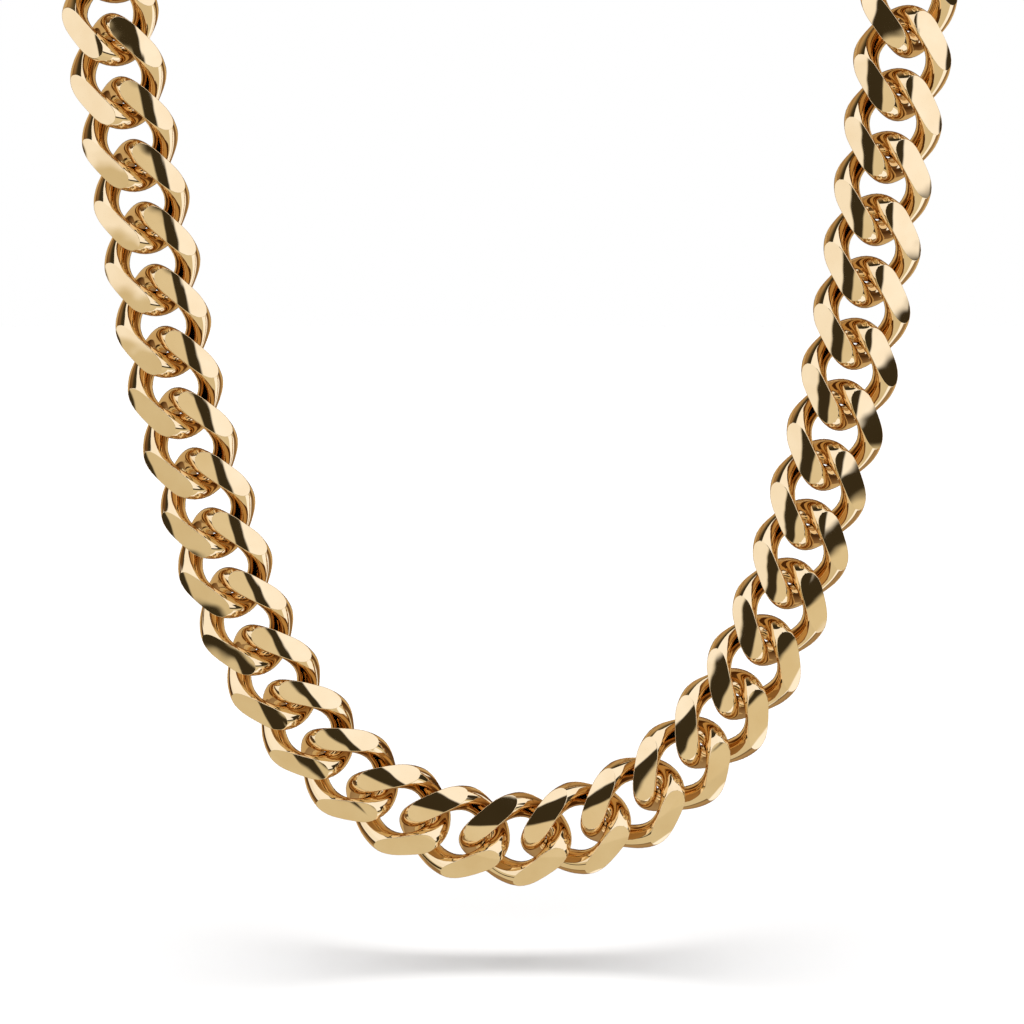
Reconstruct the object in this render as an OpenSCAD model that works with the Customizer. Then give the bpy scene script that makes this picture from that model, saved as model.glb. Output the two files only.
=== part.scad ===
// Curb chain necklace: one closed loop of identical twisted and ground links, joined by a
// plain clasp at the nape.
//
// Frame, in millimetres: X runs across the neck, +X to the right as seen from the front,
// +Y points to the back of the neck and +Z points up. The origin is where the clasp's inner
// face rests on the nape. The chain comes forward round the neck and hangs in a vertical
// U whose flat side faces -Y.
//
// A link is an oval ring of flattened wire, twisted about the length of the chain so that
// neighbours nest, then ground to a domed face at the front and at the back.

/* [Chain] */
// Width of the chain across its links
link_width = 14; // [11:0.5:16]
// Thickness of the ground chain from its front faces to its back faces, at its middle
link_thick = 6.2; // [5.8:0.1:6.6]
// Radius of the domed faces across the chain
face_dome = 10.5; // [9:0.5:40]
// Wire width as a share of the chain's width
wire_share = 0.26; // [0.23:0.002:0.27]
// Height of the flattened wire as a share of its width
wire_flat = 0.84; // [0.8:0.02:1]
// Spacing of the links along the chain as a share of the width
pitch_share = 0.649; // [0.64:0.002:0.68]
// Free play between the wires of two joined links
link_play = 0.35; // [0.3:0.05:0.6]
// Twist of each end of a link out of the chain's flat
link_twist = 51.5; // [51:0.5:53]

/* [Loop] */
// Width of the loop at the sides of the neck, between centrelines
loop_width = 116; // [106:1:128]
// Depth from the clasp forward to the hanging front
loop_depth = 105; // [95:1:116]
// Drop from the clasp to the lowest link
loop_drop = 173; // [158:1:190]
// Turn of the hanging chain's faces to the viewer's left, at the top of that side
front_turn = 8; // [0:1:10]

/* [Clasp] */
// Length of the clasp's body along the chain
clasp_length = 22.4; // [20:0.2:23]
// Thickness of the clasp's body
clasp_thick = 5.6; // [5.2:0.1:7]
// Radius of the clasp's upright corners
clasp_corner = 2.5; // [1:0.5:4]
// Bevel round the clasp's front and back faces
clasp_bevel = 0.8; // [0.4:0.1:1.5]

/* [Hidden] */

// Stations round a link and the sides of its wire
ring_stations = 16;
wire_sides = 6;
// A chain of straight facets lies inside the round form, so it is made a little larger
facet_grow = 1.04;
ring_grow_x = 1.03;
ring_grow_z = 1.01;
// Squareness of the oval, where 2 is an ellipse
ring_square = 2.1;
// Half angle that a flat of the bare wire takes up
flat_half = 180 / wire_sides;

// Centreline of the loop, from the clasp round the viewer's left to the front and back on
// the right: [across, towards the back, up], measured from the clasp's middle. The front
// stretch, at a depth of -105, follows the photo. The points were chosen at the size
// [across, depth, drop] below and stretch with the loop.
route_size = [116, 105, 173];
route_points = [
    [0, 0, 0],
    [-13.5, -2.5, 0],
    [-28, -11, -1],
    [-40.5, -23.5, -3],
    [-49, -39.5, -5.5],
    [-54, -56.5, -8.5],
    [-56.5, -75, -12.5],
    [-57.5, -90, -22],
    [-57.5, -100.5, -36],
    [-57.5, -105, -54],
    [-53.5, -105, -79],
    [-49, -105, -105.5],
    [-44.5, -105, -123],
    [-39, -105, -140.5],
    [-30, -105, -156.5],
    [-16.5, -105, -168.5],
    [0.5, -105, -173],
    [17.5, -105, -168],
    [30.5, -105, -155.5],
    [39, -105, -139.5],
    [44.5, -105, -122],
    [49, -105, -104],
    [52, -105, -86.5],
    [56, -105, -59.5],
    [57.5, -102.5, -42],
    [58.5, -94, -26.5],
    [58.5, -80, -15.5],
    [56.5, -62, -9.5],
    [52.5, -44.5, -5.5],
    [45, -28, -3],
    [33.5, -14, -1],
    [18, -3.5, 0]
];
// Steps of the smooth curve between two points of the route
route_steps = 12;
// Shares of the loop's length where the flat front stretch starts and ends
front_start = 0.26;
front_end = 0.73;
// The chain's face leans outward and upward on its way round the neck
lean_side = 0.7;
lean_up = 0.7;

// Run that an arm of the clasp and its bend take, as a share of the chain's width
arm_share = 0.63;
// Stations of an arm, and the station of the ring where each arm starts
arm_stations = 12;
arm_start_left = 7;
arm_start_right = -2;
// Sides of a full circle at the clasp's corners
corner_sides = 24;

// Length of chain that the clasp and its arms take, between the two end links
clasp_span = clasp_length + 2 * arm_share * link_width;

function unit(v) = v / norm(v);
function clamp(v) = max(-1, min(1, v));

// Smooth curve through four neighbouring points, at share t of the middle stretch
function blend(a, b, c, d, t) =
    0.5 * (2 * b + (c - a) * t + (2 * a - 5 * b + 4 * c - d) * t * t
        + (3 * b - a - 3 * c + d) * t * t * t);
route_stretch = [
    loop_width / route_size.x, loop_depth / route_size.y, loop_drop / route_size.z
];
function route_at(i) =
    let (p = route_points[(i + len(route_points)) % len(route_points)])
    [p.x * route_stretch.x, p.y * route_stretch.y, p.z * route_stretch.z];
route_curve = [
    for (i = [0:len(route_points) - 1], k = [0:route_steps - 1])
        blend(route_at(i - 1), route_at(i), route_at(i + 1), route_at(i + 2), k / route_steps)
];
curve_count = len(route_curve);
// Length of the loop up to each point of the curve
route_run = [
    for (i = 0, s = 0; i <= curve_count;
        s = s + norm(route_curve[(i + 1) % curve_count] - route_curve[i % curve_count]),
        i = i + 1) s
];
loop_length = route_run[curve_count];
function run_table(axis) = [
    for (i = [0:curve_count]) [route_run[i], route_curve[i % curve_count][axis]]
];
run_x = run_table(0);
run_y = run_table(1);
run_z = run_table(2);

function wrapped(s) = s < 0 ? s + loop_length : (s > loop_length ? s - loop_length : s);
// Point of the centreline at a run s from the clasp's middle
function loop_point(s) =
    let (w = wrapped(s))
    [lookup(w, run_x), clasp_thick / 2 + lookup(w, run_y), lookup(w, run_z)];

// Links
wire = link_width * wire_share;
link_count = round((loop_length - clasp_span) / (link_width * pitch_share)) + 1;
link_pitch = (loop_length - clasp_span) / (link_count - 1);
link_length = link_pitch + link_play + 2 * wire;
half_count = ceil(link_count / 2);
function link_run(i) = clasp_span / 2 + i * link_pitch;

// Turn of a link about the run, which grows from the clasp to the front and fades across it
function face_turn(s) =
    let (share = wrapped(s) / loop_length)
    share < front_start ? -front_turn * share / front_start
        : share < front_end ? -front_turn * (front_end - share) / (front_end - front_start) : 0;

// Direction in which the chain's front faces look, before it is squared to the run
function lean(s) =
    let (
        share = wrapped(s) / loop_length,
        angle = share < front_start ? 180 * (1 - share / front_start)
            : share > front_end ? 180 * (share - front_end) / (1 - front_end) : 0,
        side = share < 0.5 ? -1 : 1
    )
    [side * lean_side * sin(angle), -cos(angle), lean_up * sin(angle)];

// Frame of a link: X across the chain, Y away from its front face, Z back along the run
function frame_at(s) =
    let (
        p = loop_point(s),
        back = unit(loop_point(s - link_pitch / 2) - loop_point(s + link_pitch / 2)),
        face = lean(s),
        level_y = -unit(face - (face * back) * back),
        level_x = cross(level_y, back),
        turn = face_turn(s),
        x = cos(turn) * level_x + sin(turn) * level_y,
        y = cos(turn) * level_y - sin(turn) * level_x
    )
    [[x.x, y.x, back.x, p.x], [x.y, y.y, back.y, p.y], [x.z, y.z, back.z, p.z]];

// Ring of wire: half sizes of its centreline
ring_a = (link_width - wire) / 2 * ring_grow_x;
ring_b = (link_length - wire) / 2 * ring_grow_z;
wire_r = wire / 2 * facet_grow;
half_thick = link_thick / 2;

function ring_size(t) =
    pow(pow(abs(cos(t)) / ring_a, ring_square) + pow(abs(sin(t)) / ring_b, ring_square),
        -1 / ring_square);
// Twist at a height on the ring
function ring_turn(t) = -link_twist * ring_size(t) * sin(t) / ring_b;
function ring_point(t) =
    let (r = ring_size(t), f = ring_turn(t))
    [r * cos(t) * cos(f), r * cos(t) * sin(f), r * sin(t)];
function ring_run(t) = unit(ring_point(t + 1) - ring_point(t - 1));
// Axes of the wire's section: out along the ring's face normal, and outward from its middle
function ring_face(t) =
    let (f = ring_turn(t), d = ring_run(t), n = [sin(f), -cos(f), 0])
    unit(n - (n * d) * d);
function ring_out(t) = cross(ring_run(t), ring_face(t));

// Normal of a domed ground face at a distance x across the chain, where side is -1 at the
// front and 1 at the back
function dome_normal(x, side) = unit([x / face_dome, side, 0]);
// How far past the wire's middle the face lies, measured along its normal
function dome_reach(c, side) =
    (half_thick - c.x * c.x / (2 * face_dome) - side * c.y) * abs(dome_normal(c.x, side).y);
// Angle on the wire towards a direction, and how far the wire reaches that way
function wire_angle(o, n, way) = atan2(wire_flat * (n * way), o * way);
function wire_reach(o, n, way) = wire_r * norm([o * way, wire_flat * (n * way)]);

// Angles of the section's corners. Where the wire stands past the ground faces, two of the
// corners lie on the face and the other four share the rest of the outline.
function section_angles(t) =
    let (
        c = ring_point(t),
        o = ring_out(t),
        n = ring_face(t),
        fore = dome_normal(c.x, -1),
        aft = dome_normal(c.x, 1),
        front = wire_angle(o, n, fore),
        back = wire_angle(o, n, aft),
        front_half = acos(clamp(dome_reach(c, -1) / wire_reach(o, n, fore))),
        back_half = acos(clamp(dome_reach(c, 1) / wire_reach(o, n, aft))),
        front_step = (360 - 2 * front_half) / (wire_sides - 1),
        back_step = (360 - 2 * back_half) / (wire_sides - 1)
    )
    front_half > flat_half
        ? [front - front_half, for (k = [0:wire_sides - 2]) front + front_half + k * front_step]
    : back_half > flat_half
        ? [for (k = [wire_sides - 2:-1:0]) back - back_half - k * back_step, back + back_half]
    : [for (k = [0:wire_sides - 1]) flat_half + k * 360 / wire_sides];

function section(t) =
    let (c = ring_point(t), o = ring_out(t), n = ring_face(t))
    [for (q = section_angles(t)) c + wire_r * (cos(q) * o + wire_flat * sin(q) * n)];

function station_angle(i) = (i + 0.5) * 360 / ring_stations;

// Whole link
module link() {
    points = [for (i = [0:ring_stations - 1]) each section(station_angle(i))];
    total = ring_stations * wire_sides;
    polyhedron(points, [
        for (i = [0:ring_stations - 1], j = [0:wire_sides - 1])
            let (
                a = i * wire_sides + j,
                b = i * wire_sides + (j + 1) % wire_sides,
                c = (a + wire_sides) % total,
                d = (b + wire_sides) % total
            )
            each [[a, b, d], [a, d, c]]
    ]);
}

// Arm of the clasp: the outer part of a link, from station first on, closed at both ends
module arm(first) {
    points = [for (i = [0:arm_stations - 1]) each section(station_angle(first + i))];
    last = (arm_stations - 1) * wire_sides;
    polyhedron(points, concat(
        [
            for (i = [0:arm_stations - 2], j = [0:wire_sides - 1])
                let (
                    a = i * wire_sides + j,
                    b = i * wire_sides + (j + 1) % wire_sides
                )
                each [[a, b, b + wire_sides], [a, b + wire_sides, a + wire_sides]]
        ],
        [for (j = [1:wire_sides - 2]) [0, j + 1, j]],
        [for (j = [1:wire_sides - 2]) [last, last + j, last + j + 1]]
    ));
}

module links(first, last) {
    for (i = [first:last])
        multmatrix(frame_at(link_run(i))) link();
}

// First half of the chain, from the clasp down the viewer's left to the bottom
module chain_left() {
    color([0.85, 0.66, 0.40]) links(0, half_count - 1);
}

// Second half, from the bottom up the viewer's right to the clasp
module chain_right() {
    color([0.85, 0.66, 0.40]) links(half_count, link_count - 1);
}

module clasp_outline(inset) {
    offset(r = clasp_corner, $fn = corner_sides)
        square([link_width - 2 * (clasp_corner + inset), clasp_length - 2 * (clasp_corner + inset)],
            center = true);
}

// Plain box with an arm at each end that goes through the end link
module clasp() {
    color([0.85, 0.66, 0.40]) union() {
        translate([0, clasp_thick / 2, 0]) rotate([90, 90, 0]) hull() {
            linear_extrude(clasp_thick - 2 * clasp_bevel, center = true) clasp_outline(0);
            linear_extrude(clasp_thick, center = true) clasp_outline(clasp_bevel);
        }
        multmatrix(frame_at(link_run(-1))) arm(arm_start_left);
        multmatrix(frame_at(link_run(link_count))) arm(arm_start_right);
    }
}

chain_left();
chain_right();
clasp();
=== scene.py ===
"""Curb chain necklace: polished links hanging in a U, with a plain box clasp at the nape."""
import logging
import math
from bisect import bisect_right
from dataclasses import dataclass, field
from enum import Enum
from typing import ClassVar

import bmesh
import bpy
from mathutils import Matrix, Vector


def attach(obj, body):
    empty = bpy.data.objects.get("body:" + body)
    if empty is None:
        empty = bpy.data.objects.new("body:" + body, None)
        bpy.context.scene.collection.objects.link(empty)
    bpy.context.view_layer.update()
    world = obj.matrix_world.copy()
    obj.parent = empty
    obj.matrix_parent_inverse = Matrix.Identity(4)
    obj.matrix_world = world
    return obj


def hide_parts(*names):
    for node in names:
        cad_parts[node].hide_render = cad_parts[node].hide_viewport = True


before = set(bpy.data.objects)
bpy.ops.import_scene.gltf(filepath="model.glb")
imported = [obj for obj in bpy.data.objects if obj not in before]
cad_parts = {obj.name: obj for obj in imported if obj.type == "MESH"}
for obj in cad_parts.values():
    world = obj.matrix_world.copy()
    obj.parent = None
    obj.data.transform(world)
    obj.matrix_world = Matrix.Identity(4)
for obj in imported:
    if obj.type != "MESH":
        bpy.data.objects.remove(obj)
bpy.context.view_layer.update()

MM = 0.001
NORMAL_LAYER = "surface_normal"
Color = tuple[float, float, float]
Socket = bpy.types.NodeSocket
log = logging.getLogger("necklace")


class Side(Enum):
    """Ground side of the chain, by the sign of its depth."""

    FRONT = -1
    BACK = 1


@dataclass(frozen=True)
class ChainSize:
    """Sizes that the whole chain shares, in millimetres, as in the CAD.

    Attributes:
        width: Across the links.
        thick: From the front faces to the back faces.
        wire: Diameter of the wire at the sides of a link.
        pitch_share: Spacing of the links as a share of the width.
        play: Free play between the wires of two joined links.
        twist: Turn of each end of a link out of the chain's flat, in degrees.
        clasp_length: Length of the clasp's body along the chain.
        clasp_thick: Thickness of the clasp's body.
        clasp_bend: Length of one clasp arm, up to the first link.
        front_turn: Turn of the faces to the viewer's left at the top of that side, in degrees.
    """

    width: float = 14.0
    thick: float = 6.2
    wire: float = 3.64
    pitch_share: float = 0.649
    play: float = 0.27
    twist: float = 51.5
    clasp_length: float = 22.4
    clasp_thick: float = 5.6
    clasp_bend: float = 8.82
    front_turn: float = 8.0

    @property
    def clasp_span(self) -> float:
        """Length of the loop between the middles of its two end links."""
        return self.clasp_length + 2 * self.clasp_bend


class Route:
    """Centreline of the closed loop, the same as in the CAD.

    It starts at the clasp and goes down the viewer's left first.
    """

    POINTS: ClassVar[tuple[tuple[float, float, float], ...]] = (
        (0, 0, 0), (-13.5, -2.5, 0), (-28, -11, -1), (-40.5, -23.5, -3), (-49, -39.5, -5.5),
        (-54, -56.5, -8.5), (-56.5, -75, -12.5), (-57.5, -90, -22), (-57.5, -100.5, -36),
        (-57.5, -105, -54), (-53.5, -105, -79), (-49, -105, -105.5), (-44.5, -105, -123),
        (-39, -105, -140.5), (-30, -105, -156.5), (-16.5, -105, -168.5), (0.5, -105, -173),
        (17.5, -105, -168), (30.5, -105, -155.5), (39, -105, -139.5), (44.5, -105, -122),
        (49, -105, -104), (52, -105, -86.5), (56, -105, -59.5), (57.5, -102.5, -42),
        (58.5, -94, -26.5), (58.5, -80, -15.5), (56.5, -62, -9.5), (52.5, -44.5, -5.5),
        (45, -28, -3), (33.5, -14, -1), (18, -3.5, 0),
    )
    # straight steps between two points
    STEPS: ClassVar[int] = 12
    # shares of the loop where its hanging front starts and ends
    FRONT_START: ClassVar[float] = 0.26
    FRONT_END: ClassVar[float] = 0.73
    # how far the faces look sideways and up where the chain lies on the shoulders
    LEAN_SIDE: ClassVar[float] = 0.7
    LEAN_UP: ClassVar[float] = 0.7

    def __init__(self, size: ChainSize) -> None:
        """Smooth the points and measure the run along them.

        Args:
            size: Sizes of the chain.
        """
        self.size = size
        count = len(self.POINTS)
        spots = [Vector(p) for p in self.POINTS]
        self.curve = [
            self._blend(*(spots[(i + k) % count] for k in (-1, 0, 1, 2)), step / self.STEPS)
            for i in range(count) for step in range(self.STEPS)
        ]
        self.curve.append(self.curve[0].copy())
        self.run = [0.0]
        for a, b in zip(self.curve, self.curve[1:]):
            self.run.append(self.run[-1] + (b - a).length)
        self.length = self.run[-1]
        self.link_count = round((self.length - size.clasp_span) / (size.width * size.pitch_share)) + 1
        self.pitch = (self.length - size.clasp_span) / (self.link_count - 1)
        self.half_count = math.ceil(self.link_count / 2)

    @staticmethod
    def _blend(a: Vector, b: Vector, c: Vector, d: Vector, t: float) -> Vector:
        """Return the smooth curve's point between b and c at share t."""
        return 0.5 * (2 * b + (c - a) * t + (2 * a - 5 * b + 4 * c - d) * t * t
                      + (3 * b - a - 3 * c + d) * t * t * t)

    def point(self, s: float) -> Vector:
        """Find a point of the centreline.

        Args:
            s: Run from the clasp's middle, round the viewer's left.

        Returns:
            The point, in millimetres.
        """
        s %= self.length
        i = min(bisect_right(self.run, s) - 1, len(self.curve) - 2)
        share = (s - self.run[i]) / (self.run[i + 1] - self.run[i])
        return self.curve[i].lerp(self.curve[i + 1], share) + Vector((0, self.size.clasp_thick / 2, 0))

    def _lean(self, s: float) -> Vector:
        """Find the direction in which the chain's front faces look.

        Args:
            s: Run from the clasp's middle.

        Returns:
            The direction, not yet square to the run.
        """
        share = (s % self.length) / self.length
        if share < self.FRONT_START:
            angle = math.pi * (1 - share / self.FRONT_START)
        elif share > self.FRONT_END:
            angle = math.pi * (share - self.FRONT_END) / (1 - self.FRONT_END)
        else:
            angle = 0.0
        side = -1 if share < 0.5 else 1
        return Vector((side * self.LEAN_SIDE * math.sin(angle), -math.cos(angle),
                       self.LEAN_UP * math.sin(angle)))

    def _face_turn(self, s: float) -> float:
        """Find the turn of the faces about the run, which fades across the hanging front.

        Args:
            s: Run from the clasp's middle.

        Returns:
            The turn, in radians.
        """
        share = (s % self.length) / self.length
        if share < self.FRONT_START:
            part = share / self.FRONT_START
        else:
            part = max(0.0, (self.FRONT_END - share) / (self.FRONT_END - self.FRONT_START))
        return -math.radians(self.size.front_turn) * part

    def link_run(self, index: int) -> float:
        """Return the run of a link's middle."""
        return self.size.clasp_span / 2 + index * self.pitch

    def frame_at(self, index: int) -> Matrix:
        """Place a link on the loop.

        Args:
            index: Number of the link from the clasp round the viewer's left.

        Returns:
            Frame with X across the chain, Y away from its front face and Z back along the run.
        """
        s = self.link_run(index)
        back = (self.point(s - self.pitch / 2) - self.point(s + self.pitch / 2)).normalized()
        face = self._lean(s)
        y = -(face - face.dot(back) * back).normalized()
        level = Matrix((y.cross(back), y, back)).transposed().to_4x4()
        return Matrix.Translation(self.point(s)) @ level @ Matrix.Rotation(self._face_turn(s), 4, "Z")


@dataclass
class CurbLink:
    """One twisted link of flattened wire, ground to a domed face at the front and at the back.

    A place on the wire's outline is a number from 0 to 4: 0 is the middle of the ring's face, 1 its
    inner side, 2 the middle of its back and 3 its outer side.

    Attributes:
        size: Sizes of the chain.
        pitch: Spacing of the links.
        stations: Evenly spaced sections round the link.
        end_stations: Further sections close before each end of a ground face.
        oval: Squareness of the oval, where 2 is an ellipse.
        half_width: Distance of the wire's round sides from its middle.
        side_radius: Radius of the round sides.
        side_turn: Half angle of the round sides, in degrees.
        dome_across: Radius of the ground faces' dome across the chain.
        dome_along: The same along the chain.
        edge: Width of the polished edge on each side of a ground face's border.
        side_columns: Columns along each side of the wire, between two faces.
        guard: Least distance from a crest to the outermost column of a face, as a place.
        end_reach: Stretch over which the sections close up to a face's end, as an angle.
    """

    size: ChainSize
    pitch: float
    stations: int = 68
    end_stations: int = 4
    oval: float = 2.1
    half_width: float = 1.85
    side_radius: float = 1.3
    side_turn: float = 45.0
    dome_across: float = 10.5
    dome_along: float = 80.0
    edge: float = 0.07
    side_columns: int = 7
    guard: float = 0.3
    end_reach: float = 0.12
    # left open in the spin, so that its first and last sections stay apart
    GAP: ClassVar[float] = math.radians(10)
    # steps for the direction of the wire and for the slope of its surface, as angles
    RUN_STEP: ClassVar[float] = 0.01
    SLOPE_STEP: ClassVar[float] = 0.004
    # steps round the link that look for the ends of the faces, and halvings that narrow them down
    END_STEPS: ClassVar[int] = 180
    END_HALVINGS: ClassVar[int] = 20
    # room round an end that only its own sections use, and how far one lies outside the face
    END_ROOM: ClassVar[float] = 0.02
    END_PAST: ClassVar[float] = 0.01
    # first and last step of the search for a crest, as places
    CREST_FIRST: ClassVar[float] = 0.5
    CREST_LAST: ClassVar[float] = 0.002
    # furthest that a border lies from its crest, and halvings that narrow it down
    BORDER_REACH: ClassVar[float] = 1.4
    BORDER_HALVINGS: ClassVar[int] = 24
    # most of a narrow face's width that an edge takes
    EDGE_SHARE: ClassVar[float] = 0.25
    # half the spread of a face's columns where there is no face: least, growth and most
    BARE_SPREAD: ClassVar[tuple[float, float, float]] = (0.02, 0.4, 0.17)

    def __post_init__(self) -> None:
        """Work out the half sizes of the ring, the wire's arcs and the places of the columns."""
        length = self.pitch + self.size.play + 2 * self.size.wire
        self.half_x = (self.size.width - self.size.wire) / 2
        self.half_z = (length - self.size.wire) / 2
        round_end = math.radians(self.side_turn)
        slack = self.half_width - self.side_radius * (1 - math.cos(round_end))
        face_radius = slack / math.cos(round_end)
        side = Vector((self.half_width - self.side_radius, 0))
        face = side - (face_radius - self.side_radius) * self._ray(round_end)
        # end of the stretch, angle of the normal there, middle and radius of the arc
        self.arcs = (
            (0.50, math.pi / 2, round_end, face, face_radius),
            (1.00, round_end, 0.0, side, self.side_radius),
        )
        self.columns = len(self.section(0))
        turns = [2 * math.pi * k / self.stations for k in range(self.stations)]
        for end, inward in self._face_ends():
            close = [end + inward * self.end_reach * (k / self.end_stations) ** 2
                     for k in range(self.end_stations)]
            close.append(end - inward * self.END_PAST)
            turns = [t for t in turns if abs(math.remainder(t - end, 2 * math.pi)) > self.END_ROOM]
            turns += [t % (2 * math.pi) for t in close]
        self.turns = sorted(turns)

    def _face_ends(self) -> list[tuple[float, int]]:
        """Find where the ground faces end round the link.

        Returns:
            The angle of each end, with the sign of the way into its face.
        """
        steps = self.END_STEPS
        ends = []
        for corner, side in ((0, Side.FRONT), (2, Side.BACK)):
            inside = [self._crest(2 * math.pi * k / steps, corner, side)[1] > 0 for k in range(steps)]
            for k in range(steps):
                if inside[k] == inside[k - 1]:
                    continue
                full, bare = (k, k - 1) if inside[k] else (k - 1, k)
                held, lost = 2 * math.pi * full / steps, 2 * math.pi * bare / steps
                for _ in range(self.END_HALVINGS):
                    mid = (held + lost) / 2
                    if self._crest(mid, corner, side)[1] > 0:
                        held = mid
                    else:
                        lost = mid
                ends.append((held, full - bare))
        return ends

    @staticmethod
    def _ray(angle: float) -> Vector:
        """Return the unit vector at an angle."""
        return Vector((math.cos(angle), math.sin(angle)))

    def middle(self, t: float) -> Vector:
        """Find the wire's middle.

        Args:
            t: Angle round the link.

        Returns:
            The point, in the link's own frame.
        """
        c, s = math.cos(t), math.sin(t)
        r = ((abs(c) / self.half_x) ** self.oval + (abs(s) / self.half_z) ** self.oval) ** (-1 / self.oval)
        turn = self._turn(r * s)
        return Vector((r * c * math.cos(turn), r * c * math.sin(turn), r * s))

    def _turn(self, z: float) -> float:
        """Return the twist at a height z of the link."""
        return -math.radians(self.size.twist) * z / self.half_z

    def axes(self, t: float) -> tuple[Vector, Vector]:
        """Find the axes of the wire's section.

        Args:
            t: Angle round the link.

        Returns:
            Unit vectors outward and towards the ring's face.
        """
        step = self.RUN_STEP
        run = (self.middle(t + step) - self.middle(t - step)).normalized()
        turn = self._turn(self.middle(t).z)
        face = Vector((math.sin(turn), -math.cos(turn), 0))
        face = (face - face.dot(run) * run).normalized()
        return run.cross(face), face

    def _outline(self, place: float) -> tuple[float, float, float]:
        """Find a place of the wire's outline.

        Args:
            place: The place, from 0 to 4.

        Returns:
            Its distances outward and faceward, and the angle of its normal.

        Raises:
            ValueError: If the arcs leave the place out.
        """
        place %= 4
        quarter = int(place)
        past = place - quarter if quarter % 2 == 0 else quarter + 1 - place
        outward = -1 if quarter < 2 else 1
        faceward = 1 if quarter in (0, 3) else -1
        start = 0.0
        for end, first, last, middle, radius in self.arcs:
            if past <= end:
                normal = first + (last - first) * (past - start) / (end - start)
                spot = middle + radius * self._ray(normal)
                return (outward * spot.x, faceward * spot.y,
                        math.atan2(faceward * math.sin(normal), outward * math.cos(normal)))
            start = end
        raise ValueError(f"no arc at {place}")

    def _spot(self, t: float, place: float) -> Vector:
        """Find a point of the unground wire.

        Args:
            t: Angle round the link.
            place: Place on the outline.

        Returns:
            The point.
        """
        out, face = self.axes(t)
        u, v, _ = self._outline(place)
        return self.middle(t) + u * out + v * face

    def _bare(self, t: float, place: float) -> tuple[Vector, Vector]:
        """Find a point of the unground wire and its normal.

        Args:
            t: Angle round the link.
            place: Place on the outline.

        Returns:
            The point and the outward normal there.
        """
        step = self.SLOPE_STEP
        out, face = self.axes(t)
        u, v, normal = self._outline(place)
        run = self._spot(t + step, place) - self._spot(t - step, place)
        up = run.cross(face * math.cos(normal) - out * math.sin(normal))
        if up.dot(out * math.cos(normal) + face * math.sin(normal)) < 0:
            up.negate()
        return self.middle(t) + u * out + v * face, up.normalized()

    def _depth(self, x: float, z: float) -> float:
        """Return the depth of the domed ground faces at a place on the link."""
        return self.size.thick / 2 - x * x / (2 * self.dome_across) - z * z / (2 * self.dome_along)

    def _excess(self, t: float, place: float, side: Side) -> float:
        """Return how far the unground wire stands past a ground face."""
        spot = self._spot(t, place)
        return side.value * spot.y - self._depth(spot.x, spot.z)

    def _ground(self, spot: Vector, side: Side) -> tuple[Vector, Vector]:
        """Find the point of a ground face that lies under a point.

        Args:
            spot: Point of the wire.
            side: Ground side.

        Returns:
            The point on the face and the outward normal there.
        """
        s = side.value
        lies = Vector((spot.x, s * self._depth(spot.x, spot.z), spot.z))
        return lies, Vector((spot.x / self.dome_across, s, spot.z / self.dome_along)).normalized()

    def _crest(self, t: float, corner: int, side: Side) -> tuple[float, float]:
        """Find the place of the outline that stands furthest past a ground face.

        Args:
            t: Angle round the link.
            corner: Corner on the ring's face or back, 0 or 2.
            side: Ground side.

        Returns:
            The place, and how far it stands past the face.
        """
        step = self.CREST_FIRST
        place = max((corner - 1 + k * step for k in range(5)), key=lambda k: self._excess(t, k, side))
        while step > self.CREST_LAST:
            step /= 2
            place = max((place - step, place, place + step), key=lambda k: self._excess(t, k, side))
        return place, self._excess(t, place, side)

    def _border(self, t: float, inner: float, outer: float, side: Side) -> float:
        """Find where the wire sinks under a ground face.

        Args:
            t: Angle round the link.
            inner: Place that stands past the face.
            outer: Place that lies under it.
            side: Ground side.

        Returns:
            The place between the two.
        """
        for _ in range(self.BORDER_HALVINGS):
            mid = (inner + outer) / 2
            if self._excess(t, mid, side) > 0:
                inner = mid
            else:
                outer = mid
        return outer

    def _face(self, t: float, corner: int, side: Side) -> tuple[list[float], list[tuple[Vector, Vector]]]:
        """Lay out the columns at a ground face, or where the wire comes close to it.

        Args:
            t: Angle round the link.
            corner: Corner on the ring's face or back, 0 or 2.
            side: Ground side.

        Returns:
            The places of the outermost two columns, and the points and normals of all of them.
        """
        crest, reach = self._crest(t, corner, side)
        rim = self.edge / (2 * self.half_width)
        if reach > 0:
            low = self._border(t, crest, crest - self.BORDER_REACH, side)
            high = self._border(t, crest, crest + self.BORDER_REACH, side)
            a, b = self._spot(t, low), self._spot(t, high)
            inset = min(self.EDGE_SHARE, self.edge / max(1e-6, (b - a).length))
            flat = [self._ground(a.lerp(b, share), side) for share in (inset, 0.5, 1 - inset)]
        else:
            least, growth, most = self.BARE_SPREAD
            half = min(most, least + growth * math.sqrt(-reach))
            low, high = crest - half, crest + half
            flat = [self._bare(t, place) for place in (crest - half / 2, crest, crest + half / 2)]
        first, last = min(crest - self.guard, low - 2 * rim), max(crest + self.guard, high + 2 * rim)
        before = [self._bare(t, place) for place in (first, low - rim)]
        after = [self._bare(t, place) for place in (high + rim, last)]
        return [first, last], before + flat + after

    def section(self, t: float) -> list[tuple[Vector, Vector]]:
        """Lay out the whole outline of the wire at an angle t round the link.

        Args:
            t: Angle round the link.

        Returns:
            Points and normals, one for each column.
        """
        front, front_columns = self._face(t, 0, Side.FRONT)
        back, back_columns = self._face(t, 2, Side.BACK)
        outline = []
        stretches = ((front_columns, front[1], back[0]), (back_columns, back[1], front[0] + 4))
        for columns, here, after in stretches:
            step = (after - here) / (self.side_columns + 1)
            outline += columns
            outline += [self._bare(t, here + step * (k + 1)) for k in range(self.side_columns)]
        return outline

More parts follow.
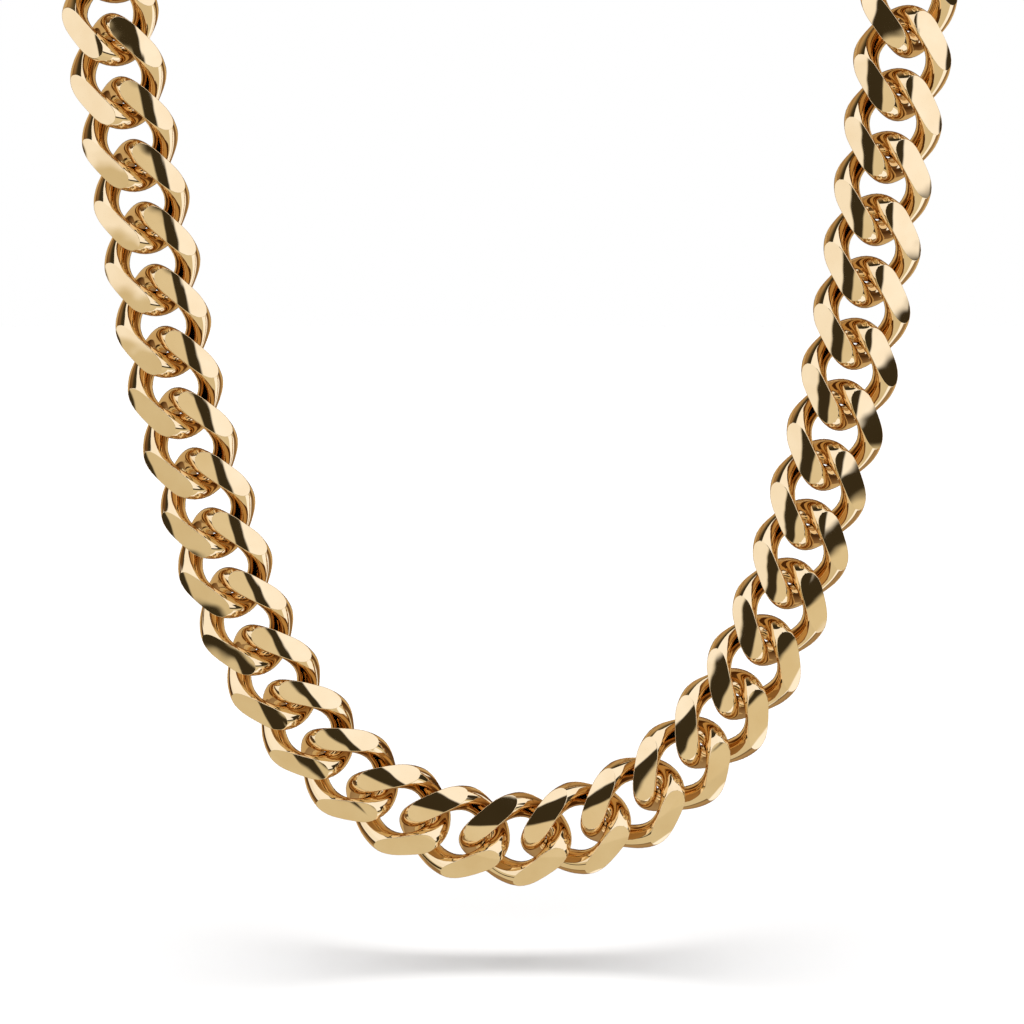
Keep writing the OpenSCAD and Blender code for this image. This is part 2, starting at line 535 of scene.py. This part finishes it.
    def tube(self, stretch: tuple[float, float] | None = None) -> bpy.types.Mesh:
        """Spin a tube of wire and lay it round the link.

        Args:
            stretch: Angles in degrees that its sections lie between, or None for a whole link.

        Returns:
            Mesh of the wire in the link's own frame, in millimetres, with its normals in a layer.
        """
        if stretch is None:
            turns = [*self.turns, self.turns[0] + 2 * math.pi]
        else:
            first, last = map(math.radians, stretch)
            around = (t + 2 * math.pi * k for k in (-1, 0, 1, 2) for t in self.turns)
            turns = [t for t in around if first <= t <= last]
        # the spun ring is only a start: each of its points then goes to its own place on the wire
        steps, reach, sweep = len(turns) - 1, 3.0, 2 * math.pi - self.GAP
        bm = bmesh.new()
        ring = bmesh.ops.create_circle(bm, segments=self.columns, radius=1.0)["verts"]
        bmesh.ops.rotate(bm, verts=ring, matrix=Matrix.Rotation(math.pi / 2, 3, "X"))
        bmesh.ops.translate(bm, verts=ring, vec=(reach, 0, 0))
        bmesh.ops.spin(bm, geom=bm.verts[:] + bm.edges[:], axis=(0, 0, 1), cent=(0, 0, 0), dvec=(0, 0, 0),
                       angle=sweep, steps=steps, use_merge=False, use_duplicate=False)
        layer = bm.verts.layers.float_vector.new(NORMAL_LAYER)
        sections: dict[int, list[tuple[Vector, Vector]]] = {}
        for vert in bm.verts:
            x, y, z = vert.co
            turned = (math.atan2(y, x) + self.GAP / 2) % (2 * math.pi) - self.GAP / 2
            station = round(turned / sweep * steps)
            column = round((math.atan2(z, math.hypot(x, y) - reach) % (2 * math.pi))
                           / (2 * math.pi) * self.columns) % self.columns
            if station not in sections:
                sections[station] = self.section(turns[station])
            vert.co, vert[layer] = sections[station][column]
        if stretch is None:
            bmesh.ops.remove_doubles(bm, verts=bm.verts[:], dist=1e-4)
        else:
            rims = [edge for edge in bm.edges if edge.is_boundary]
            bmesh.ops.edgeloop_fill(bm, edges=rims, mat_nr=0, use_smooth=False)
        bmesh.ops.recalc_face_normals(bm, faces=bm.faces[:])
        for part in bm.faces:
            part.smooth = True
        mesh = bpy.data.meshes.new("wire")
        bm.to_mesh(mesh)
        bm.free()
        return mesh


class Shade:
    """Helper that adds nodes to a node tree, with their inputs linked or set."""

    def __init__(self, tree: bpy.types.NodeTree) -> None:
        """Keep the tree.

        Args:
            tree: Node tree to add to.
        """
        self.tree = tree

    def feed(self, socket: Socket, term: Socket | Color | float) -> None:
        """Link an input, or set it.

        Args:
            socket: The input.
            term: Output to link, or the colour or number to set.
        """
        if isinstance(term, Socket):
            self.tree.links.new(term, socket)
        elif isinstance(term, tuple):
            socket.default_value = (*term, 1)
        else:
            socket.default_value = term

    def add(self, kind: str, inputs: dict[str | int, Socket | Color | float], output: str,
            **options: str) -> Socket:
        """Add a node.

        Args:
            kind: Name of the node's class, without ShaderNode before it.
            inputs: What each named or numbered input is fed.
            output: Name of the output to return.
            options: The node's own settings.

        Returns:
            The output.
        """
        node = self.tree.nodes.new("ShaderNode" + kind)
        for name, value in options.items():
            setattr(node, name, value)
        for key, term in inputs.items():
            self.feed(node.inputs[key], term)
        return node.outputs[output]

    def math(self, operation: str, *terms: Socket | float) -> Socket:
        """Return the result of a math node."""
        return self.add("Math", dict(enumerate(terms)), "Value", operation=operation)

    def noise(self, place: Socket, scale: float, detail: float) -> Socket:
        """Return soft noise from 0 to 1."""
        return self.add("TexNoise", {"Vector": place, "Scale": scale, "Detail": detail}, "Fac")

    def rise(self, value: Socket, low: float, high: float) -> Socket:
        """Return a smooth step from 0 at low to 1 at high."""
        inputs = {"Value": value, "From Min": low, "From Max": high}
        return self.add("MapRange", inputs, "Result", interpolation_type="SMOOTHSTEP")

    def span(self, value: Socket, low: float, high: float) -> Socket:
        """Return low where the value is 0 and high where it is 1."""
        return self.add("MapRange", {"Value": value, "To Min": low, "To Max": high}, "Result")

    def ramp(self, value: Socket, stops: tuple[tuple[float, Color], ...]) -> Socket:
        """Colour a value.

        Args:
            value: Number from 0 to 1.
            stops: Values and their colours, in order.

        Returns:
            The colour.
        """
        node = self.tree.nodes.new("ShaderNodeValToRGB")
        elements = node.color_ramp.elements
        while len(elements) < len(stops):
            elements.new(0.5)
        for element, (position, color) in zip(elements, stops):
            element.position, element.color = position, (*color, 1)
        self.feed(node.inputs["Fac"], value)
        return node.outputs["Color"]

    def mix(self, share: Socket, low: Socket | Color, high: Socket | Color) -> Socket:
        """Blend two colours.

        Args:
            share: Share of the second colour.
            low: First colour.
            high: Second colour.

        Returns:
            The blend.
        """
        node = self.tree.nodes.new("ShaderNodeMix")
        node.data_type = "RGBA"
        # a mix node's colours are its inputs 6 and 7 and its output 2
        for key, term in (("Factor", share), (6, low), (7, high)):
            self.feed(node.inputs[key], term)
        return node.outputs[2]


@dataclass(frozen=True)
class PolishedGold:
    """Mirror-polished gold-coloured metal, with the slow waves that polishing by hand leaves.

    Attributes:
        name: Name of the material.
        color: Colour of its reflections.
        deep: Colour of its slightly darker clouds.
        cloud_scale: How many clouds fit in a metre.
        rough: Roughness of the polish at its best.
        haze: How much rougher the clouds are.
        wave: Height of the waves, in metres.
        wave_scale: How many waves fit in a metre.
    """

    name: str
    color: Color = (0.85, 0.66, 0.41)
    deep: Color = (0.81, 0.61, 0.36)
    cloud_scale: float = 260.0
    rough: float = 0.02
    haze: float = 0.03
    wave: float = 0.0001
    wave_scale: float = 190.0

    def build(self) -> bpy.types.Material:
        """Make the material, with its patterns on Object coordinates.

        Returns:
            The material.
        """
        mat = bpy.data.materials.new(self.name)
        mat.use_nodes = True
        shader = mat.node_tree.nodes["Principled BSDF"]
        shader.inputs["Metallic"].default_value = 1.0
        shade = Shade(mat.node_tree)
        place = shade.add("TexCoord", {}, "Object")
        clouds = shade.noise(place, self.cloud_scale, 3.0)
        waves = shade.noise(place, self.wave_scale, 1.0)
        bump = {"Strength": 1.0, "Distance": self.wave, "Height": waves}
        shade.feed(shader.inputs["Base Color"], shade.ramp(clouds, ((0.3, self.deep), (0.7, self.color))))
        shade.feed(shader.inputs["Roughness"], shade.span(clouds, self.rough, self.rough + self.haze))
        shade.feed(shader.inputs["Normal"], shade.add("Bump", bump, "Normal"))
        return mat


class Piece:
    """Helper that turns wire meshes into one finished piece."""

    def __init__(self, name: str) -> None:
        """Start an empty piece.

        Args:
            name: Name of the piece.
        """
        self.name = name
        self.bm = bmesh.new()
        self.layer = self.bm.verts.layers.float_vector.new(NORMAL_LAYER)

    def add(self, mesh: bpy.types.Mesh, place: Matrix) -> None:
        """Add a copy of a mesh at a place on the loop.

        Args:
            mesh: Mesh in millimetres, with its normals in a layer.
            place: Frame to set it in.
        """
        before = len(self.bm.verts)
        self.bm.from_mesh(mesh)
        self.bm.verts.ensure_lookup_table()
        self.layer = self.bm.verts.layers.float_vector[NORMAL_LAYER]
        turn = place.to_3x3()
        fresh = self.bm.verts[before:]
        bmesh.ops.transform(self.bm, matrix=place, verts=fresh)
        for vert in fresh:
            vert[self.layer] = turn @ vert[self.layer]

    def finish(self, material: bpy.types.Material) -> bpy.types.Object:
        """Scale the mesh to metres and hand it over as an object.

        Args:
            material: Its material.

        Returns:
            The object, at the origin, with its place in its mesh.
        """
        bmesh.ops.scale(self.bm, vec=(MM, MM, MM), verts=self.bm.verts[:])
        normals = [tuple(vert[self.layer]) for vert in self.bm.verts]
        mesh = bpy.data.meshes.new(self.name)
        self.bm.to_mesh(mesh)
        self.bm.free()
        mesh.normals_split_custom_set_from_vertices(normals)
        mesh.attributes.remove(mesh.attributes[NORMAL_LAYER])
        mesh.materials.append(material)
        piece = bpy.data.objects.new(self.name, mesh)
        bpy.context.scene.collection.objects.link(piece)
        return piece


@dataclass
class ChainHalf:
    """One half of the chain's links, as one piece that stands for its CAD node.

    Attributes:
        name: Name of the piece.
        node: The CAD node.
        first: Number of its first link.
        last: Number of its last link.
    """

    name: str
    node: str
    first: int
    last: int

    def build(self, route: Route, link: bpy.types.Mesh, material: bpy.types.Material) -> bpy.types.Object:
        """Set copies of the link along this half of the loop.

        Args:
            route: Centreline of the loop.
            link: Mesh of one link.
            material: Material of the links.

        Returns:
            The finished piece.
        """
        piece = Piece(self.name)
        for index in range(self.first, self.last + 1):
            piece.add(link, route.frame_at(index))
        made = piece.finish(material)
        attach(made, "root")
        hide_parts(self.node)
        return made


@dataclass
class BoxClasp:
    """Plain closed box clasp at the nape, with an arm through each end link.

    Attributes:
        size: Sizes of the chain.
        corner: Radius of the box's upright corners, in millimetres.
        bevel: Width of its softened rims, in millimetres.
    """

    size: ChainSize
    corner: float = 2.5
    bevel: float = 0.8
    # angles of a link that each arm takes, in degrees
    ARM_LEFT: ClassVar[tuple[float, float]] = (170, 415)
    ARM_RIGHT: ClassVar[tuple[float, float]] = (-35, 215)

    def box(self) -> bpy.types.Mesh:
        """Shape the clasp's body, with round upright corners and softened rims.

        Returns:
            Mesh in millimetres, with its normals in a layer.
        """
        size = self.size
        bm = bmesh.new()
        bmesh.ops.create_cube(bm, size=1.0)
        bmesh.ops.scale(bm, vec=(size.clasp_length, size.clasp_thick, size.width), verts=bm.verts[:])
        bmesh.ops.translate(bm, vec=(0, size.clasp_thick / 2, 0), verts=bm.verts[:])
        corners = [e for e in bm.edges if abs(e.verts[0].co.y - e.verts[1].co.y) > 1]
        bmesh.ops.bevel(bm, geom=corners, offset=self.corner, segments=8, profile=0.5,
                        affect="EDGES", material=-1, clamp_overlap=True)
        rims = [e for e in bm.edges if abs(e.verts[0].co.y - e.verts[1].co.y) < 0.01]
        bmesh.ops.bevel(bm, geom=rims, offset=self.bevel, segments=4, profile=0.5,
                        affect="EDGES", material=-1, clamp_overlap=True)
        bmesh.ops.recalc_face_normals(bm, faces=bm.faces[:])
        layer = bm.verts.layers.float_vector.new(NORMAL_LAYER)
        for vert in bm.verts:
            shares = (part.normal * part.calc_area() for part in vert.link_faces)
            vert[layer] = sum(shares, Vector()).normalized()
        for part in bm.faces:
            part.smooth = True
        mesh = bpy.data.meshes.new("clasp_box")
        bm.to_mesh(mesh)
        bm.free()
        return mesh

    def build(self, route: Route, link: CurbLink, material: bpy.types.Material) -> bpy.types.Object:
        """Join the box and its arms, and let them stand for the CAD node.

        Args:
            route: Centreline of the loop.
            link: Link whose wire the arms follow.
            material: Material of the clasp.

        Returns:
            The finished piece.
        """
        piece = Piece("clasp_body")
        piece.add(self.box(), Matrix())
        for arm, index in ((self.ARM_LEFT, -1), (self.ARM_RIGHT, route.link_count)):
            piece.add(link.tube(arm), route.frame_at(index))
        made = piece.finish(material)
        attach(made, "root")
        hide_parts("clasp")
        return made


@dataclass(frozen=True)
class Zone:
    """One softbox, card or table round the chain, as a stretch of directions that it fills.

    Attributes:
        azimuth: Its two sides in degrees, from the camera's side towards the viewer's right.
        elevation: Its lower and upper edge in degrees.
        level: Brightness, where 0 is dark, 0.6 a lit table and 1 a softbox.
        lean: How far its sides move to the right for each degree of height, in degrees.
        tint: Colour that its light passes through.
    """

    azimuth: tuple[float, float]
    elevation: tuple[float, float]
    level: float
    lean: float = 0.0
    tint: Color = (1.0, 1.0, 1.0)
    # colours at the levels 0, TABLE_LEVEL and 1
    DARK: ClassVar[Color] = (0.045, 0.036, 0.02)
    TABLE: ClassVar[Color] = (0.84, 0.78, 0.6)
    SOFTBOX: ClassVar[Color] = (1.27, 1.35, 1.56)
    TABLE_LEVEL: ClassVar[float] = 0.6

    @property
    def tone(self) -> Color:
        """Colour of the zone, warm where it is dark and cool where it is bright.

        Returns:
            The colour.
        """
        low, high, part = self.DARK, self.TABLE, self.level / self.TABLE_LEVEL
        if part > 1:
            low, high = self.TABLE, self.SOFTBOX
            part = (self.level - self.TABLE_LEVEL) / (1 - self.TABLE_LEVEL)
        return tuple((a + (b - a) * part) * c for a, b, c in zip(low, high, self.tint))


@dataclass
class Studio:
    """Camera, floor and lights.

    Attributes:
        aim: Point that the camera looks at.
        distance: Distance of the camera from it, in metres.
        elevation: Height of the camera over it, in radians.
        lens: Focal length for a sensor 36 mm wide.
        floor_level: Height of the floor, in metres.
        lamp_power: Strength of the lamp above.
        lamp_angle: How wide the lamp looks, in degrees.
        floor_fill: Share of the surroundings' light that reaches the floor.
    """

    # later zones lie over earlier ones, and the last two light the chain's back
    ZONES: ClassVar[dict[str, Zone]] = {
        "table": Zone((-100, 100), (-91, -30), 0.56),
        "table_right": Zone((19, 100), (-40, -17), 0.6),
        "white_panel": Zone((69, 100), (-91, -27), 1.0),
        "table_gap": Zone((-46, -23), (-40, -20), 0.0),
        "left_card": Zone((-96, -35), (-25, 15), 0.55, lean=-0.9),
        "left_softbox": Zone((-96, -35), (-13, 15), 0.86, lean=-0.9),
        "left_top": Zone((-115, -50), (12, 91), 0.92, lean=1.0),
        "right_softbox": Zone((30, 70), (-8, 14), 0.95, lean=-0.4),
        "right_top": Zone((31, 115), (11, 91), 0.95, lean=-0.73),
        "front_card": Zone((-19, 16), (-42, 10.5), 0.62, lean=-0.4),
        "back_left": Zone((-160, -122), (-35, 40), 0.42, tint=(1.08, 0.86, 0.6)),
        "back_right": Zone((122, 160), (-35, 40), 0.42, tint=(1.08, 0.86, 0.6)),
    }
    # half the width of a zone's soft border, in degrees
    EDGE: ClassVar[float] = 1.5
    # shares of the way behind the chain where the brown room starts and is full, and its colours
    # from the floor up
    BEHIND: ClassVar[tuple[float, float]] = (-0.1, 0.3)
    ROOM: ClassVar[tuple[tuple[float, Color], ...]] = (
        (0.0, (0.5, 0.36, 0.2)), (0.35, (0.22, 0.12, 0.05)), (0.5, (0.07, 0.03, 0.01)),
        (0.7, (0.2, 0.1, 0.035)), (0.9, (0.5, 0.33, 0.16)), (1.0, (0.6, 0.45, 0.25)),
    )

    aim: Vector = field(default_factory=lambda: Vector((0, -102.2, -124.5)) * MM)
    distance: float = 0.45
    elevation: float = math.radians(6)
    lens: float = 108.5
    floor_level: float = -191.7 * MM
    lamp_power: float = 4.0
    lamp_angle: float = 44.0
    floor_fill: float = 0.01

    def camera(self) -> bpy.types.Object:
        """Set the camera at the photo's angle and make it the scene's own.

        Returns:
            The camera.
        """
        data = bpy.data.cameras.new("camera")
        data.sensor_width, data.lens, data.clip_start = 36.0, self.lens, 0.01
        view = Vector((0, math.cos(self.elevation), -math.sin(self.elevation)))
        cam = bpy.data.objects.new("camera", data)
        cam.location = self.aim - view * self.distance
        cam.rotation_euler = view.to_track_quat("-Z", "Y").to_euler()
        bpy.context.scene.collection.objects.link(cam)
        bpy.context.scene.camera = cam
        return cam

    def floor(self) -> bpy.types.Object:
        """Lay a wide pale floor under the chain.

        Returns:
            The floor.
        """
        bm = bmesh.new()
        bmesh.ops.create_grid(bm, x_segments=1, y_segments=1, size=2.0)
        bmesh.ops.translate(bm, verts=bm.verts[:], vec=(0, 0, self.floor_level))
        mesh = bpy.data.meshes.new("floor")
        bm.to_mesh(mesh)
        bm.free()
        mat = bpy.data.materials.new("floor_white")
        mat.use_nodes = True
        shader = mat.node_tree.nodes["Principled BSDF"]
        shader.inputs["Base Color"].default_value = (0.9, 0.9, 0.9, 1)
        shader.inputs["Roughness"].default_value = 0.9
        mesh.materials.append(mat)
        floor = bpy.data.objects.new("floor", mesh)
        floor.visible_glossy = False
        bpy.context.scene.collection.objects.link(floor)
        return floor

    def lamp(self) -> bpy.types.Object:
        """Light the floor softly from above, which gives the chain its shadow there.

        Returns:
            The lamp.
        """
        data = bpy.data.lights.new("overhead", "SUN")
        data.energy, data.angle = self.lamp_power, math.radians(self.lamp_angle)
        lamp = bpy.data.objects.new("overhead", data)
        lamp.visible_glossy = False
        bpy.context.scene.collection.objects.link(lamp)
        return lamp

    def _inside(self, zone: Zone, shade: Shade, azimuth: Socket, elevation: Socket) -> Socket:
        """Find where a zone lies.

        Args:
            zone: The zone.
            shade: Helper for the world's nodes.
            azimuth: Azimuth of a direction, in degrees.
            elevation: Its elevation, in degrees.

        Returns:
            1 inside the zone and 0 outside.
        """
        along = shade.math("SUBTRACT", azimuth, shade.math("MULTIPLY", elevation, zone.lean))
        share = 1.0
        for value, (low, high) in ((along, zone.azimuth), (elevation, zone.elevation)):
            for bare, full in ((low - self.EDGE, low + self.EDGE), (high + self.EDGE, high - self.EDGE)):
                share = shade.math("MULTIPLY", share, shade.rise(value, bare, full))
        return share

    def world(self) -> None:
        """Surround the scene with soft light, and show it white to the camera."""
        world = bpy.data.worlds.new("studio")
        world.use_nodes = True
        bpy.context.scene.world = world
        nodes, shade = world.node_tree.nodes, Shade(world.node_tree)
        tent, path = nodes["Background"], nodes.new("ShaderNodeLightPath")
        shown = {
            "Fac": path.outputs["Is Camera Ray"],
            1: tent.outputs["Background"],
            2: shade.add("Background", {"Color": (1.0, 1.0, 1.0)}, "Background"),
        }
        shade.feed(nodes["World Output"].inputs["Surface"], shade.add("MixShader", shown, "Shader"))
        strength = shade.span(path.outputs["Is Diffuse Ray"], 1.0, self.floor_fill)
        shade.feed(tent.inputs["Strength"], strength)

        split = nodes.new("ShaderNodeSeparateXYZ")
        shade.feed(split.inputs["Vector"], shade.add("TexCoord", {}, "Generated"))
        x, y, z = (split.outputs[axis] for axis in "XYZ")
        degree = 180 / math.pi
        turn = shade.math("ARCTAN2", x, shade.math("MULTIPLY", y, -1.0))
        azimuth = shade.math("MULTIPLY", turn, degree)
        elevation = shade.math("MULTIPLY", shade.math("ARCSINE", z), degree)
        walls = shade.ramp(shade.math("MULTIPLY_ADD", z, 0.5, 0.5), self.ROOM)
        color = shade.mix(shade.rise(y, *self.BEHIND), Zone.DARK, walls)
        for zone in self.ZONES.values():
            color = shade.mix(self._inside(zone, shade, azimuth, elevation), color, zone.tone)
        shade.feed(tent.inputs["Color"], color)

    def build(self) -> None:
        """Set up everything round the necklace."""
        for made in (self.camera(), self.floor(), self.lamp()):
            log.info("studio: %s", made.name)
        self.world()
        bpy.context.scene.view_settings.view_transform = "Standard"


def main() -> None:
    """Build the necklace and its studio."""
    logging.basicConfig(level=logging.INFO, format="%(name)s: %(message)s")
    size = ChainSize()
    route = Route(size)
    log.info("loop %.1f mm, %d links, pitch %.3f mm", route.length, route.link_count, route.pitch)
    Studio().build()
    gold = PolishedGold("polished_gold").build()
    curb = CurbLink(size, route.pitch)
    link = curb.tube()
    halves = (
        ChainHalf("chain_left_links", "chain_left", 0, route.half_count - 1),
        ChainHalf("chain_right_links", "chain_right", route.half_count, route.link_count - 1),
    )
    for half in halves:
        made = half.build(route, link, gold)
        log.info("%s: %d faces", made.name, len(made.data.polygons))
    made = BoxClasp(size).build(route, curb, PolishedGold("clasp_gold").build())
    log.info("%s: %d faces", made.name, len(made.data.polygons))


if __name__ == "__main__":
    main()
